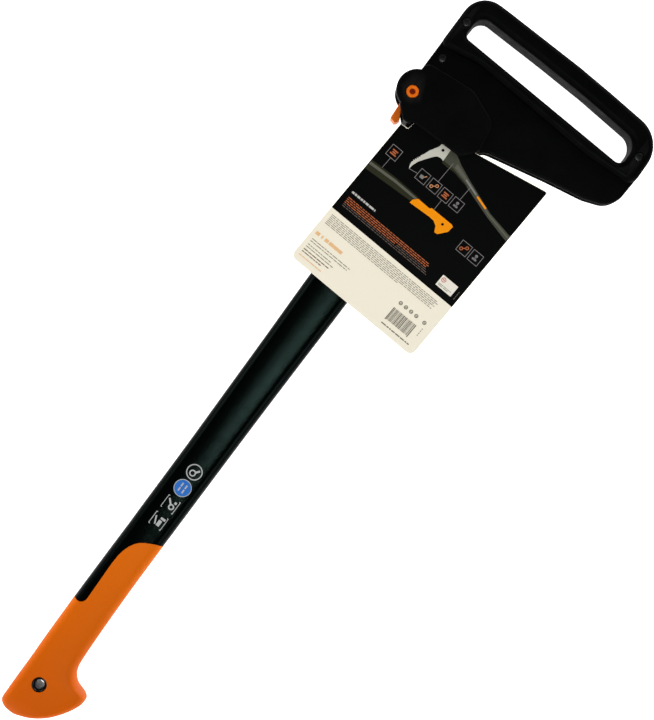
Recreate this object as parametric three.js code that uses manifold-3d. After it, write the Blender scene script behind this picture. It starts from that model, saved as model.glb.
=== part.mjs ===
// A timber pick (sappie) for lifting and dragging logs: a steel pick head on a hollow composite shaft,
// an orange grip with a hooked butt, a printed card on the shaft, and a black sheath over the head with a
// carry handle and a sprung thumb latch. Millimetres. The tool lies on its side: X runs along the shaft
// from butt to head, Y points to the head's back, and Z is up through the thickness.
import * as THREE from "three";
import { mergeVertices } from "three/addons/utils/BufferGeometryUtils.js";
import Module from "manifold-3d";

const wasm = await Module();
wasm.setup();

// ---- driving dimensions ----
const GAP = 0.3; // between pieces that touch
const HALF_HEIGHT = 16; // the thickest places: butt, sheath mouth and carry handle
const BUTT_X = -2.5;
const GRIP_END = 196;
const NECK_END = 641; // where the shaft ends at the steel, on the back side
const SHAFT_WALL = 3.6;
const RUBBER = 3.2; // the grip's wall over the shaft
const HOLLOW_END = 560;
const EYE = { x: 34.5, y: -3.8, outer: 6.6, bore: 4.2 };
const PICK_HALF = 4;
const TANG = { from: 572, low: -14, high: 18 };
const PICK_EYE = { x: 659, y: 0, r: 5.2 };
const TEETH = 6;

const COVER_HALF = 9; // outside of the sheath over the pick
const COVER_POCKET = 5.2;
const MOUTH_POCKET = 12.9;
const MOUTH_X = 621.5;
const BOSS = { x: 646.4, y: 40.7, r: 18, cavity: 14.8 };
const BACK_EDGE = 48.4; // the sheath's straight back edge
const HUB = { x: 642.4, y: 42.6, disc: 8.2, tube: 5.7, hole: 6.05, dimple: 2.7 };
const LEVER_HALF = 7.5;
const LEVER_ROOM = 8.5;
const SWING_ROOM = [124, 197]; // degrees about the hub that the lever sweeps through
const SPRING = { r: 7.1, wire: 0.6, turns: 2.5, low: 8.5, high: 12.0 };
const RIVETS = [
  // x, y, half length
  [683, 39.6, COVER_HALF - 0.4],
  [719, 40.6, 15.6],
  [714, -149.6, 15.6],
];
const RIVET = { shank: 2, head: 4, headDepth: 2.4 };

const CARD = { x: 464.7, y: 42.3, left: -0.6, right: 136.2, turn: -93.3, low: 11.8, thick: 0.7 };

// ---- solids ----
function solid(geometry) {
  const bare = geometry.index ? geometry.toNonIndexed() : geometry.clone();
  for (const name of Object.keys(bare.attributes)) {
    if (name !== "position") bare.deleteAttribute(name);
  }
  const merged = mergeVertices(bare, 1e-4);
  const corners = merged.index.array;
  const triangles = [];
  for (let i = 0; i < corners.length; i += 3) {
    const [a, b, c] = corners.slice(i, i + 3);
    if (a !== b && b !== c && c !== a) triangles.push(a, b, c);
  }
  return new wasm.Manifold(
    new wasm.Mesh({
      numProp: 3,
      vertProperties: new Float32Array(merged.attributes.position.array),
      triVerts: new Uint32Array(triangles),
    }),
  );
}

function joined(...solids) {
  return solids.reduce((sum, next) => sum.add(next));
}

function cut(body, ...tools) {
  return tools.reduce((rest, tool) => rest.subtract(tool), body);
}

// An outline of corners [x, y, radius], each rounded by an arc of its radius.
const ARC_STEP = THREE.MathUtils.degToRad(17);
const CURVE_STEPS = 4;
function outline(corners) {
  const points = [];
  corners.forEach(([x, y, r = 0], i) => {
    const here = new THREE.Vector2(x, y);
    const before = corners[(i + corners.length - 1) % corners.length];
    const after = corners[(i + 1) % corners.length];
    const back = new THREE.Vector2(before[0], before[1]).sub(here).normalize();
    const on = new THREE.Vector2(after[0], after[1]).sub(here).normalize();
    const half = Math.acos(THREE.MathUtils.clamp(back.dot(on), -1, 1)) / 2;
    const steps = r === 0 ? 0 : Math.ceil((Math.PI - 2 * half) / ARC_STEP);
    if (steps === 0) {
      points.push(here);
      return;
    }
    const centre = here.clone().addScaledVector(back.clone().add(on).normalize(), r / Math.sin(half));
    const start = here.clone().addScaledVector(back, r / Math.tan(half)).sub(centre);
    const sweep = Math.sign(on.cross(back)) * (Math.PI - 2 * half);
    for (let k = 0; k <= steps; k++) {
      points.push(start.clone().rotateAround(new THREE.Vector2(), (sweep * k) / steps).add(centre));
    }
  });
  return new THREE.Shape(points);
}

// A plate between two heights. With a bevel its upper and lower rims are rounded inwards.
function plate(shape, low, high, bevel = 0) {
  const geometry = new THREE.ExtrudeGeometry(shape, {
    depth: high - low - 2 * bevel,
    curveSegments: CURVE_STEPS,
    bevelEnabled: bevel > 0,
    bevelThickness: bevel,
    bevelSize: bevel,
    bevelOffset: -bevel,
    bevelSegments: 2,
  });
  return solid(geometry.translate(0, 0, low + bevel));
}

function drum(x, y, r, low, high, segments = 24) {
  const geometry = new THREE.CylinderGeometry(r, r, high - low, segments);
  return solid(geometry.rotateX(Math.PI / 2).translate(x, y, (low + high) / 2));
}

function block(x0, x1, y0, y1, z0, z1) {
  const geometry = new THREE.BoxGeometry(x1 - x0, y1 - y0, z1 - z0);
  return solid(geometry.translate((x0 + x1) / 2, (y0 + y1) / 2, (z0 + z1) / 2));
}

// A closed skin over rings of equal length, from the first ring to the last.
function skin(rings) {
  const count = rings[0].length;
  const positions = rings.flat().flatMap((p) => [p.x, p.y, p.z]);
  const index = [];
  for (let i = 0; i + 1 < rings.length; i++) {
    for (let j = 0; j < count; j++) {
      const a = i * count + j;
      const b = i * count + ((j + 1) % count);
      index.push(a, b, a + count, b, b + count, a + count);
    }
  }
  const last = (rings.length - 1) * count;
  for (let j = 1; j + 1 < count; j++) {
    index.push(0, j + 1, j, last, last + j, last + j + 1);
  }
  const geometry = new THREE.BufferGeometry();
  geometry.setAttribute("position", new THREE.Float32BufferAttribute(positions, 3));
  geometry.setIndex(index);
  return solid(geometry);
}

// ---- the handle's outside: low and high edges and half thickness at each place along it ----
const STATIONS = [
  // x, low edge, high edge, half thickness
  [BUTT_X, -1.8, 5.4, 5],
  [-1.3, -4.8, 11.6, 8.5],
  [0.6, -9.6, 15, 10.8],
  [3, -14.4, 16.4, 12.8],
  [6, -19.1, 16.8, 14.2],
  [10, -24.3, 16.8, 15.2],
  [15.3, -29.8, 16.9, 15.8],
  [25.6, -37.5, 17.1, HALF_HEIGHT],
  [34, -42, 17.2, HALF_HEIGHT],
  [40.7, -44.1, 17.2, HALF_HEIGHT],
  [44.3, -44.1, 17.2, 15.9],
  [46.6, -42.4, 17.3, 15.8],
  [48, -38.3, 17.3, 15.8],
  [49.6, -33.2, 17.3, 15.7],
  [52.8, -28.2, 17.4, 15.5],
  [59, -23.3, 17.6, 15.2],
  [66, -21.3, 17.8, 14.8],
  [80, -20.4, 18, 14.4],
  [120, -19.2, 18.3, 13.8],
  [160, -18.7, 18.2, 13.3],
  [GRIP_END, -18.7, 18, 13],
  [208, -18.8, 18.1, 12.9],
  [260, -19, 18.1, 12.7],
  [335, -19.5, 18.8, 12.4],
  [400, -20.3, 19.5, 11.9],
  [462, -21.2, 20.4, 11.5],
  [540, -21.4, 20.6, 11.4],
  [580, -21.5, 21.8, 11.4],
  [606, -21.7, 24.6, 11.4],
  [624, -22.2, 27, 11.4],
  [NECK_END + 8, -23, 28, 11.4],
];
const RING_STEPS = 5; // points in each quarter of a section

// One section: a rectangle with rounded ends, flat above and below.
function ring([x, low, high, half], inset = 0) {
  const mid = (low + high) / 2;
  const width = Math.max((high - low) / 2 - inset, 1);
  const height = Math.max(half - inset, 1);
  const edge = Math.min(7.5, width * 0.62);
  const points = [];
  for (let quarter = 0; quarter < 4; quarter++) {
    const sideY = quarter === 0 || quarter === 3 ? 1 : -1;
    const sideZ = quarter < 2 ? 1 : -1;
    for (let step = 0; step < RING_STEPS; step++) {
      const turn = (quarter + step / (RING_STEPS - 1)) * (Math.PI / 2);
      const y = mid + sideY * (width - edge) + edge * Math.cos(turn);
      const reach = height * 0.78;
      const z = sideZ * (height - reach) + reach * Math.sin(turn);
      points.push(new THREE.Vector3(x, y, z));
    }
  }
  return points;
}

// The handle's body between two places, with its surface moved inwards by the inset.
function handleBody(from, to, inset = 0) {
  const at = (x) => {
    const next = STATIONS.findIndex((s) => s[0] >= x);
    const [a, b] = [STATIONS[Math.max(next - 1, 0)], STATIONS[next]];
    const share = next === 0 ? 0 : (x - a[0]) / (b[0] - a[0]);
    return a.map((value, k) => value + (b[k] - value) * share);
  };
  const inside = STATIONS.filter(([x]) => x > from + 0.2 && x < to - 0.2);
  const stations = [at(from), ...inside, at(to)];
  return skin(stations.map((station) => ring(station, inset)));
}

// Where the shaft shows at the grip's front: a slanted curve, then a strip back along the high edge.
function bareZone(grow) {
  const shape = new THREE.Shape();
  const far = 700;
  shape.moveTo(far, -60);
  shape.lineTo(193.5 - grow, -60);
  shape.lineTo(193.5 - grow, -17.6);
  shape.splineThru([
    new THREE.Vector2(190 - grow, -8 - grow),
    new THREE.Vector2(185.4 - grow, -0.4 - grow),
    new THREE.Vector2(176.8 - grow, 5.4 - grow),
    new THREE.Vector2(166, 8.2 - grow),
  ]);
  shape.lineTo(119, 7.6 - grow);
  shape.absarc(119, 14, 6.4 + grow, -Math.PI / 2, -Math.PI, true);
  shape.lineTo(112.6 - grow, 60);
  shape.lineTo(far, 60);
  return plate(shape, -40, 40);
}

function steelEdge(offset) {
  // everything beyond the slanted joint between shaft and steel
  const shape = outline([
    [627.8 + offset, -60],
    [629 + offset, -22],
    [NECK_END + offset, 28],
    [643 + offset, 60],
    [800, 60],
    [800, -60],
  ]);
  return plate(shape, -40, 40);
}

function shaftSolid() {
  const core = handleBody(9, HOLLOW_END, RUBBER + GAP);
  const full = handleBody(100, 645).intersect(bareZone(-GAP / 2));
  const hollow = handleBody(8, HOLLOW_END - 10, RUBBER + GAP + SHAFT_WALL);
  const tangSlot = block(TANG.from - GAP, 660, TANG.low - GAP, TANG.high + GAP, -4 - GAP, 4 + GAP);
  const eye = drum(EYE.x, EYE.y, EYE.outer + GAP, -30, 30);
  return cut(joined(core, full), hollow, tangSlot, steelEdge(0), eye);
}

function gripSolid() {
  const outside = handleBody(BUTT_X, GRIP_END + 4);
  const room = handleBody(9 - GAP, GRIP_END + 20, RUBBER);
  const eye = drum(EYE.x, EYE.y, EYE.outer + GAP, -30, 30);
  return cut(outside, room, bareZone(GAP / 2), eye);
}

// Black insert that closes the hollow shaft at the butt and lines the lanyard hole.
function buttPlugSolid() {
  const body = handleBody(9.4, 52, RUBBER + 2 * GAP + SHAFT_WALL);
  const sleeve = drum(EYE.x, EYE.y, EYE.outer, -15.7, 15.7);
  const bore = drum(EYE.x, EYE.y, EYE.bore, -30, 30);
  const dished = [1, -1].map((side) =>
    solid(
      new THREE.CylinderGeometry(EYE.outer - 0.9, EYE.bore, 1.6, 32)
        .rotateX((side * Math.PI) / 2)
        .translate(EYE.x, EYE.y, side * 15.1),
    ),
  );
  return cut(joined(body, sleeve), bore, ...dished);
}

// ---- pick head ----
function pickHeadSolid() {
  const shape = outline([
    [629.4, -21.9],
    [643.4, -27, 8],
    [654.6, -31.6, 5],
    [659, -44, 12],
    [669.3, -91, 60],
    [678, -115, 30],
    [677.1, -132, 20],
    [675.2, -146.5, 1.5],
    [686.1, -132, 8],
    [692.6, -113, 14],
    [692.6, -91, 40],
    [679.8, 0, 60],
    [677.2, 24, 2.5],
    [NECK_END + GAP + 0.1, 27.6],
  ]);
  const blade = plate(shape, -PICK_HALF, PICK_HALF, 0.5);
  const tang = block(TANG.from, 650, TANG.low, TANG.high, -PICK_HALF, PICK_HALF);
  const eye = drum(PICK_EYE.x, PICK_EYE.y, PICK_EYE.r, -10, 10);
  const teeth = Array.from({ length: TEETH }, (_, i) => {
    const share = (i + 0.5) / TEETH;
    const x = THREE.MathUtils.lerp(679.6, 692.4, share);
    const y = THREE.MathUtils.lerp(-141, -115, share);
    const notch = new THREE.BoxGeometry(2.2, 2.2, 20);
    return solid(notch.rotateZ(Math.PI / 4 - 1.11).translate(x + 0.9, y, 0));
  });
  return cut(joined(blade, tang).subtract(cut(block(560, 629.4, -40, 40, -9, 9), tang)), eye, ...teeth);
}

// ---- sheath ----
// The outside of the carry handle: the top and both sides of the sheath.
const SHEATH_EDGE = [
  [661.3, BACK_EDGE],
  [748.9, BACK_EDGE, 22],
  [749.1, 18, 60],
  [747.1, -62, 80],
  [744.9, -98, 60],
  [740, -159, 29],
  [700, -160.1, 60],
  [666.4, -158.4, 20],
  [657.2, -133, 20],
  [651, -98, 30],
  [638.8, -40, 12],
  [624, -25, 6],
  [MOUTH_X, -20, 4],
];
const SLOT = [
  [708.5, 35, 5.5],
  [698.9, -141.6, 6.5],
  [724, -141.6, 14],
  [728.8, -80, 100],
  [730.7, -34, 80],
  [731.6, 4, 60],
  [732.3, 34, 10],
];

function fullSheath() {
  const cover = outline([...SHEATH_EDGE, [MOUTH_X, 30], [640, 46]]);
  cover.holes.push(outline(SLOT));
  const handle = outline([
    [690, BACK_EDGE, 6],
    ...SHEATH_EDGE.slice(1, 6),
    [690, -160.2, 10],
    [688, -110, 40],
    [696, 10, 30],
  ]);
  handle.holes.push(outline(SLOT));
  const mouth = outline([
    [MOUTH_X, -24, 5],
    [MOUTH_X, 25.4, 3],
    [618.3, 28.4, 3],
    [617.8, 34.6, 3],
    [628.2, 46, 5],
    [671, BACK_EDGE, 8],
    [675, 0, 20],
    [662, -31, 14],
    [634, -35, 6],
  ]);
  return joined(
    plate(cover, -COVER_HALF, COVER_HALF, 2.2),
    plate(handle, -HALF_HEIGHT, HALF_HEIGHT, 5),
    plate(mouth, -HALF_HEIGHT, HALF_HEIGHT, 1.6),
    solid(
      new THREE.LatheGeometry(
        [
          [0, -HALF_HEIGHT],
          [BOSS.r - 2.2, -HALF_HEIGHT],
          [BOSS.r, 2.2 - HALF_HEIGHT],
          [BOSS.r, HALF_HEIGHT - 2.2],
          [BOSS.r - 2.2, HALF_HEIGHT],
          [0, HALF_HEIGHT],
        ].map(([r, z]) => new THREE.Vector2(r, z)),
        32,
      )
        .rotateX(Math.PI / 2)
        .translate(BOSS.x, BOSS.y, 0),
    ),
  );
}

// Everything inside the sheath: the pocket for the head, the neck's room, the latch's room, hollow walls.
function sheathRoom() {
  const pick = outline([
    [600, 31],
    [600, -154.4],
    [695.5, -154.4, 6],
    [697, -100, 20],
    [690, 31, 3],
  ]);
  const neck = outline([
    [600, 31],
    [600, -27],
    [646, -27, 2],
    [648.5, 31, 2],
  ]);
  const wedge = new THREE.Shape();
  const [open, closed] = SWING_ROOM.map(THREE.MathUtils.degToRad);
  wedge.moveTo(HUB.x + 3, HUB.y);
  wedge.lineTo(HUB.x + 45 * Math.cos(open), HUB.y + 45 * Math.sin(open));
  wedge.lineTo(HUB.x + 45 * Math.cos(closed), HUB.y + 45 * Math.sin(closed));
  const nose = outline([
    [627, 30],
    [656, 30],
    [656, 42],
    [627, 42],
  ]);
  const bar = outline([
    [712, 44.6, 2.4],
    [744.8, 44.6, 18],
    [745.2, 18, 30],
    [743.2, -62, 60],
    [741.2, -98, 30],
    [739.6, -122, 3],
    [730.2, -122, 3],
    [732.9, -80, 60],
    [734.8, -34, 60],
    [735.8, 4, 60],
    [736.4, 39.2, 9],
    [712, 39.2, 2],
  ]);
  return joined(
    plate(pick, -COVER_POCKET, COVER_POCKET),
    plate(neck, -MOUTH_POCKET, MOUTH_POCKET),
    block(600, 645, -70, 0, COVER_HALF + GAP, MOUTH_POCKET),
    drum(BOSS.x, BOSS.y, BOSS.cavity, -MOUTH_POCKET, MOUTH_POCKET, 32),
    plate(wedge, -LEVER_ROOM, LEVER_ROOM),
    plate(nose, -LEVER_ROOM, LEVER_ROOM),
    drum(HUB.x, HUB.y, HUB.hole, -30, 30),
    plate(bar, -12.4, 12.4),
  );
}

// A snap rivet with a sunk head on each side. Grown by a gap it is the hole that the rivet sits in.
function rivetSolid(x, y, top, grow) {
  const under = top - RIVET.headDepth - grow;
  const over = grow > 0 ? top + 8 : top;
  return joined(
    drum(x, y, RIVET.shank + grow, -top, top, 20),
    drum(x, y, RIVET.head + grow, under, over, 24),
    drum(x, y, RIVET.head + grow, -over, -under, 24),
  );
}

// ---- latch ----
function latchSolid() {
  const arm = outline([
    [641, 50.6],
    [629.5, 46, 4],
    [614, 45.2, 1.6],
    [612.4, 39.5, 1.6],
    [616.4, 37.1, 1.2],
    [624.4, 41.2, 3],
    [630, 41.2, 2],
    [634.6, 37],
    [633.2, 31.6, 1.4],
    [633.8, 28.4, 0.8],
    [640.6, 28.4, 0.8],
    [648, 36],
  ]);
  const body = joined(
    plate(arm, -LEVER_HALF, LEVER_HALF, 0.6),
    drum(HUB.x, HUB.y, HUB.disc, -LEVER_HALF, LEVER_HALF),
    drum(HUB.x, HUB.y, HUB.tube, -15.7, 15.7),
  );
  const dimples = [1, -1].map((side) =>
    drum(HUB.x, HUB.y, HUB.dimple, Math.min(side * 12, side * 20), Math.max(side * 12, side * 20), 24),
  );
  return cut(body, ...dimples);
}

class Coil extends THREE.Curve {
  getPoint(t) {
    const turn = t * SPRING.turns * 2 * Math.PI + 0.6;
    const z = THREE.MathUtils.lerp(SPRING.low, SPRING.high, t);
    return new THREE.Vector3(HUB.x + SPRING.r * Math.cos(turn), HUB.y + SPRING.r * Math.sin(turn), z);
  }
}

function springSolid() {
  const section = new THREE.Shape();
  section.absarc(0, 0, SPRING.wire, 0, 2 * Math.PI, false);
  return solid(
    new THREE.ExtrudeGeometry(section, {
      steps: 48,
      curveSegments: 4,
      bevelEnabled: false,
      extrudePath: new Coil(),
    }),
  );
}

// ---- card ----
// Its corners in its own frame: across the card, then up it towards the head.
function cardSolid() {
  const shape = outline([
    [CARD.left, 0, 6],
    [CARD.right, 0, 6],
    [CARD.right, 185.8, 3],
    [61.5, 171],
    [58, 178, 3],
    [10.5, 178, 3],
    [7, 150.6, 1],
    [CARD.left, 150.1, 1],
  ]);
  const geometry = new THREE.ExtrudeGeometry(shape, { depth: CARD.thick, curveSegments: 5, bevelEnabled: false });
  geometry.rotateZ(THREE.MathUtils.degToRad(CARD.turn));
  return solid(geometry.translate(CARD.x, CARD.y, CARD.low));
}

// ---- the assembly ----
const part = new THREE.Group();
part.name = "timber_pick";

function piece(name, manifold, color, roughness, metalness = 0) {
  const made = manifold.getMesh();
  const geometry = new THREE.BufferGeometry();
  geometry.setAttribute("position", new THREE.BufferAttribute(made.vertProperties, 3));
  geometry.setIndex(new THREE.BufferAttribute(made.triVerts, 1));
  geometry.computeVertexNormals();
  const material = new THREE.MeshStandardMaterial({ color, roughness, metalness });
  const mesh = new THREE.Mesh(geometry, material);
  mesh.name = name;
  part.add(mesh);
}

const BLACK = 0x0b0c0d;
const ORANGE = 0xd06a0c;
const sheath = fullSheath();
const room = sheathRoom();
const rivetRooms = RIVETS.map(([x, y, top]) => rivetSolid(x, y, top, GAP));
const halfSheath = (low, high) => cut(sheath, room, ...rivetRooms).intersect(block(600, 760, -170, 70, low, high));

piece("pick_head", pickHeadSolid(), 0x8d9094, 0.35, 1);
piece("shaft", shaftSolid(), 0x101312, 0.5);
piece("grip", gripSolid(), ORANGE, 0.6);
piece("butt_plug", buttPlugSolid(), BLACK, 0.5);
piece("tag_card", cardSolid(), 0xefe8d6, 0.7);
piece("sheath_front_shell", halfSheath(GAP / 2, 30), BLACK, 0.45);
piece("sheath_rear_shell", halfSheath(-30, -GAP / 2), BLACK, 0.45);
RIVETS.forEach(([x, y, top], i) => piece(`sheath_rivet_${i + 1}`, rivetSolid(x, y, top, 0), BLACK, 0.4));
piece("latch_lever", latchSolid(), 0xe07d28, 0.5);
piece("latch_spring", springSolid(), 0xb0b3b8, 0.3, 1);

// The part's origin is the middle of its footprint, on the surface that it lies on.
const extent = new THREE.Box3().setFromObject(part);
const middle = extent.getCenter(new THREE.Vector3());
part.position.set(-middle.x, -middle.y, -extent.min.z);

export default part;
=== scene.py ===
"""The looks of a timber pick in its carry sheath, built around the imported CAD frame."""

import math
import random

import bmesh
import bpy
from mathutils import Matrix, Vector
from mathutils.geometry import tessellate_polygon


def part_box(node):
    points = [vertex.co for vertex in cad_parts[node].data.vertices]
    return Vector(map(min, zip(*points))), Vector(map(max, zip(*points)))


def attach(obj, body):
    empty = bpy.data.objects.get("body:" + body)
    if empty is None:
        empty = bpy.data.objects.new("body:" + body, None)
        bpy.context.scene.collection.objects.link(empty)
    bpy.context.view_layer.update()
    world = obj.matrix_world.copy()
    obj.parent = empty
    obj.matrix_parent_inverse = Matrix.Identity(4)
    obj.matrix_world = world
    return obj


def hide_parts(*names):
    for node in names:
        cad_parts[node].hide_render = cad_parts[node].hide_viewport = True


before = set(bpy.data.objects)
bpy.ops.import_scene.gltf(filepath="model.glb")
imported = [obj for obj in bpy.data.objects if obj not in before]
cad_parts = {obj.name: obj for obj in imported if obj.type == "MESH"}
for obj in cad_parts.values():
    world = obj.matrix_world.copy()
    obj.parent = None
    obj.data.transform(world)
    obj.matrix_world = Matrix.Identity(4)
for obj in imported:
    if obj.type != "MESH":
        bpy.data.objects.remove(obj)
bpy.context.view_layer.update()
MM = 0.001

# ---- places and sizes, in millimetres in the tool's own frame ----
# X runs from butt to head along the shaft's centreline, Y to the head's back, Z up from the mid-plane.
RIVETS = [(683, 39.6, 8.6), (719, 40.6, 15.6), (714, -149.6, 15.6)]
low_corner, high_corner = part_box("sheath_rivet_1")
ORIGIN = (low_corner + high_corner) / 2 - Vector((RIVETS[0][0], RIVETS[0][1], 0)) * MM

HALF_HEIGHT = 16.0
BUTT_X = -2.5
GRIP_END = 196.0
EYE = (34.5, -3.8)
EYE_OUTER, EYE_BORE = 6.6, 4.2
COVER_HALF, COVER_POCKET, MOUTH_POCKET = 9.0, 5.2, 12.9
MOUTH_X = 621.5
BOSS, BOSS_R, BOSS_CAVITY = (646.4, 40.7), 18.0, 14.8
BACK_EDGE = 48.4
HUB, HUB_TUBE, HUB_HOLE, HUB_DIMPLE = (642.4, 42.6), 5.7, 6.05, 2.7
LEVER_HALF, LEVER_ROOM = 7.5, 8.5
SWING_ROOM = (124, 197)  # degrees about the hub that the lever sweeps through
CARD_AT, CARD_TURN, CARD_LOW, CARD_THICK = (464.7, 42.3), -93.3, 11.8, 0.7
CARD_LEFT, CARD_RIGHT = -0.6, 136.2


def place(x, y, z):
    """A point of the tool's frame, in metres in the row frame."""
    return ORIGIN + Vector((x, y, z)) * MM


# ---- camera, light and floor ----
CAMERA_HEIGHT = 1.30
VIEW_HEIGHT = 0.6336  # metres across the picture's long side at the mid-plane
SENSOR = 36.0


def make_camera():
    data = bpy.data.cameras.new("camera")
    data.sensor_width = SENSOR
    data.lens = SENSOR * CAMERA_HEIGHT / VIEW_HEIGHT
    camera = bpy.data.objects.new("camera", data)
    bpy.context.scene.collection.objects.link(camera)
    camera.location = place(410.5, -36.7, 0) + Vector((0, 0, CAMERA_HEIGHT))
    camera.rotation_euler = (0, 0, math.radians(-53.45))
    bpy.context.scene.camera = camera


def area_light(name, at, aim, size, power, color=(1, 1, 1)):
    data = bpy.data.lights.new(name, "AREA")
    data.shape = "RECTANGLE"
    data.size, data.size_y = size
    data.energy = power
    data.color = color
    light = bpy.data.objects.new(name, data)
    bpy.context.scene.collection.objects.link(light)
    light.location = at
    light.rotation_mode = "QUATERNION"
    light.rotation_quaternion = (Vector(aim) - Vector(at)).to_track_quat("-Z", "Y")
    return light


make_camera()


# ---- materials ----
class Nodes:
    """A small helper that adds nodes to a material's tree."""

    def __init__(self, name):
        self.material = bpy.data.materials.new(name)
        self.material.use_nodes = True
        self.tree = self.material.node_tree
        self.shader = self.tree.nodes["Principled BSDF"]

    def add(self, kind, inputs=None, **settings):
        node = self.tree.nodes.new(kind)
        for key, value in settings.items():
            setattr(node, key, value)
        for key, value in (inputs or {}).items():
            if isinstance(value, bpy.types.NodeSocket):
                self.tree.links.new(value, node.inputs[key])
            else:
                node.inputs[key].default_value = value
        return node

    def link(self, output, name):
        self.tree.links.new(output, self.shader.inputs[name])

    def set(self, **values):
        for key, value in values.items():
            self.shader.inputs[key.replace("_", " ")].default_value = value

    def noise(self, scale, detail=3.0, roughness=0.5, coords=None):
        if coords is None:
            coords = self.add("ShaderNodeTexCoord").outputs["Object"]
        inputs = {"Vector": coords, "Scale": scale, "Detail": detail, "Roughness": roughness}
        return self.add("ShaderNodeTexNoise", inputs).outputs["Fac"]

    def ramp(self, fac, low, high, a, b):
        """Colour a below low, colour b above high, smooth between."""
        inputs = {"Value": fac, "From Min": low, "From Max": high}
        share = self.add("ShaderNodeMapRange", inputs).outputs["Result"]
        mix = self.add("ShaderNodeMix", {"Factor": share}, data_type="RGBA")
        mix.inputs["A"].default_value = (*a, 1)
        mix.inputs["B"].default_value = (*b, 1)
        return mix.outputs["Result"]

    def value_ramp(self, fac, low, high, a, b):
        inputs = {"Value": fac, "From Min": low, "From Max": high, "To Min": a, "To Max": b}
        return self.add("ShaderNodeMapRange", inputs).outputs["Result"]

    def bump(self, height, strength, distance):
        inputs = {"Height": height, "Strength": strength, "Distance": distance}
        self.link(self.add("ShaderNodeBump", inputs).outputs["Normal"], "Normal")


def edge_wear_and_highlight(nodes, base, worn_and_highlit, low=0.515, high=0.56):
    """Mixes the base colour to a lighter one along sharp outer edges: wear together with a painted edge
    highlight.
    """
    pointiness = nodes.add("ShaderNodeNewGeometry").outputs["Pointiness"]
    inputs = {"Value": pointiness, "From Min": low, "From Max": high}
    share = nodes.add("ShaderNodeMapRange", inputs).outputs["Result"]
    mix = nodes.add("ShaderNodeMix", {"Factor": share, "A": base}, data_type="RGBA")
    mix.inputs["B"].default_value = (*worn_and_highlit, 1)
    return mix.outputs["Result"]


def sheath_plastic():
    n = Nodes("sheath_plastic")
    base = n.ramp(n.noise(40, 2), 0.35, 0.65, (0.0004, 0.0004, 0.00045), (0.001, 0.001, 0.0011))
    # the sheath's lighter sharp edges: wear together with a painted edge highlight
    n.link(edge_wear_and_highlight(n, base, (0.006, 0.006, 0.0062)), "Base Color")
    n.link(n.value_ramp(n.noise(90, 4), 0.3, 0.7, 0.42, 0.56), "Roughness")
    n.set(Specular_IOR_Level=0.5, IOR=1.07)
    n.bump(n.noise(2600, 2), 0.25, 0.0002)
    return n.material


def satin_black(name):
    n = Nodes(name)
    base = n.ramp(n.noise(60, 2), 0.35, 0.65, (0.0015, 0.0015, 0.0016), (0.003, 0.003, 0.003))
    n.link(base, "Base Color")
    n.link(n.value_ramp(n.noise(200, 3), 0.3, 0.7, 0.3, 0.42), "Roughness")
    n.set(Specular_IOR_Level=0.12)
    n.bump(n.noise(1800, 2), 0.15, 0.0002)
    return n.material


def shaft_composite():
    n = Nodes("shaft_composite")
    fine = n.noise(1500, 4, 0.65)
    base = n.ramp(fine, 0.38, 0.68, (0.0002, 0.0004, 0.0003), (0.0008, 0.0014, 0.0012))
    n.link(base, "Base Color")
    n.link(n.value_ramp(n.noise(700, 3), 0.3, 0.7, 0.16, 0.24), "Roughness")
    n.set(Specular_IOR_Level=0.5, IOR=1.08, Specular_Tint=(0.6, 1.0, 0.9, 1))
    n.bump(n.noise(1100, 5, 0.6), 0.4, 0.0003)
    return n.material


def grip_rubber():
    n = Nodes("grip_rubber")
    coords = n.add("ShaderNodeTexCoord").outputs["Object"]
    along = n.add("ShaderNodeSeparateXYZ", {"Vector": coords}).outputs["X"]
    start, stop = place(0, 0, 0).x, place(GRIP_END, 0, 0).x
    # the orange is darker towards the butt and lighter towards the grip's end
    base = n.ramp(along, start, stop, (0.50, 0.082, 0.0), (0.64, 0.128, 0.0))
    speck = n.noise(900, 3, coords=coords)
    inputs = {"Factor": n.value_ramp(speck, 0.35, 0.75, 0.0, 0.22), "A": base}
    mix = n.add("ShaderNodeMix", inputs, data_type="RGBA")
    mix.inputs["B"].default_value = (0.42, 0.075, 0.0, 1)
    n.link(mix.outputs["Result"], "Base Color")
    n.link(n.value_ramp(n.noise(60, 4), 0.3, 0.7, 0.46, 0.6), "Roughness")
    n.set(Specular_IOR_Level=0.5, IOR=1.12)
    n.bump(n.noise(1500, 3), 0.3, 0.00025)
    return n.material


def latch_plastic():
    n = Nodes("latch_plastic")
    n.link(n.ramp(n.noise(120, 2), 0.3, 0.7, (0.60, 0.115, 0.003), (0.70, 0.14, 0.006)), "Base Color")
    n.link(n.value_ramp(n.noise(300, 3), 0.3, 0.7, 0.3, 0.42), "Roughness")
    n.set(Specular_IOR_Level=0.5, IOR=1.14)
    n.bump(n.noise(1500, 2), 0.12, 0.0002)
    return n.material


def steel(name, dark, light, rough):
    n = Nodes(name)
    coords = n.add("ShaderNodeTexCoord").outputs["Object"]
    stretch = n.add("ShaderNodeMapping", {"Vector": coords, "Scale": (1, 9, 1)}).outputs["Vector"]
    grain = n.noise(700, 5, 0.7, stretch)
    n.link(n.ramp(grain, 0.3, 0.7, dark, light), "Base Color")
    n.link(n.value_ramp(grain, 0.3, 0.7, rough, rough + 0.16), "Roughness")
    n.set(Metallic=1.0)
    n.bump(n.noise(900, 4), 0.3, 0.0002)
    return n.material


def card_board():
    n = Nodes("card_board")
    fibre = n.noise(1300, 5, 0.65)
    n.link(n.ramp(fibre, 0.3, 0.7, (0.77, 0.715, 0.575), (0.83, 0.775, 0.64)), "Base Color")
    n.set(Roughness=0.55, Specular_IOR_Level=0.15)
    n.bump(n.noise(500, 3), 0.12, 0.0002)
    return n.material


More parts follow.
